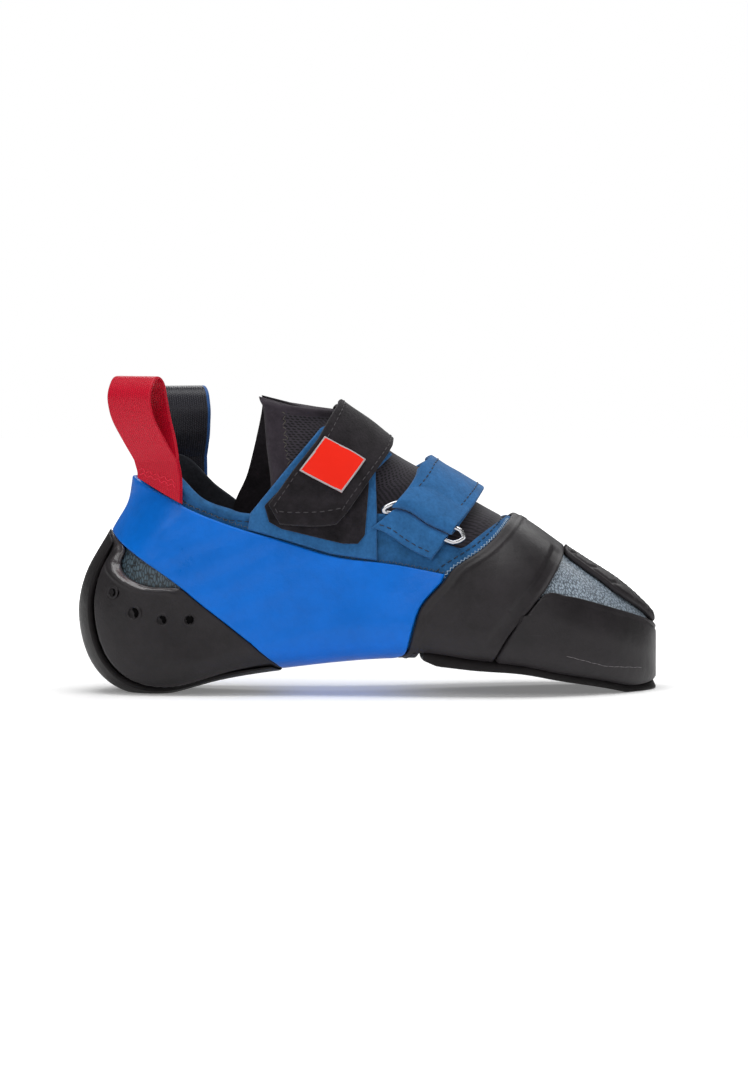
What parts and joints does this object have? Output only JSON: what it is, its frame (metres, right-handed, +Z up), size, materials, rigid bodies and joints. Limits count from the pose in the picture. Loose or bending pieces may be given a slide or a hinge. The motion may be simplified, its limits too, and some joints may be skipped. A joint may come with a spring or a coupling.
{
  "type": "climbing shoe",
  "caption": "Right climbing shoe with a downturned sole, a rubber heel and toe, a band round the heel, two straps over the instep and webbing pull loops.",
  "frame": {"origin": "centre of the shoe's bounding box at the ground plane", "axes": "+X from heel to toe, +Y toward the medial side, +Z up from the ground"},
  "size_m": [0.2408, 0.0922, 0.1315],
  "materials": {
    "suede": "matt suede, brushed nap",
    "tongue_mesh": "matt spacer mesh",
    "board": "matt board",
    "black_rubber": "satin rubber",
    "blue_rubber": "satin rubber",
    "blue_strap": "matt suede",
    "black_strap": "matt woven tape",
    "badge": "satin moulded badge",
    "steel": "bright wire",
    "red_webbing": "woven webbing, soft sheen",
    "black_webbing": "woven webbing, soft sheen"
  },
  "bodies": {
    "root": {"upper": "suede", "tongue": "tongue_mesh", "insole": "board", "outsole": "black_rubber", "heel_cup": "black_rubber", "heel_sole": "black_rubber", "slingshot_band": "blue_rubber", "forefoot_panel": "black_rubber", "toe_rand": "black_rubber", "toe_patch": "black_rubber", "strap_wing": "blue_strap", "loop_pad": "black_strap", "main_strap": "black_strap", "badge": "badge", "front_strap": "blue_strap", "ring": "steel", "ring_tab": "blue_strap", "pull_loop_red": "red_webbing", "pull_loop_black": "black_webbing"}
  },
  "joints": []
}
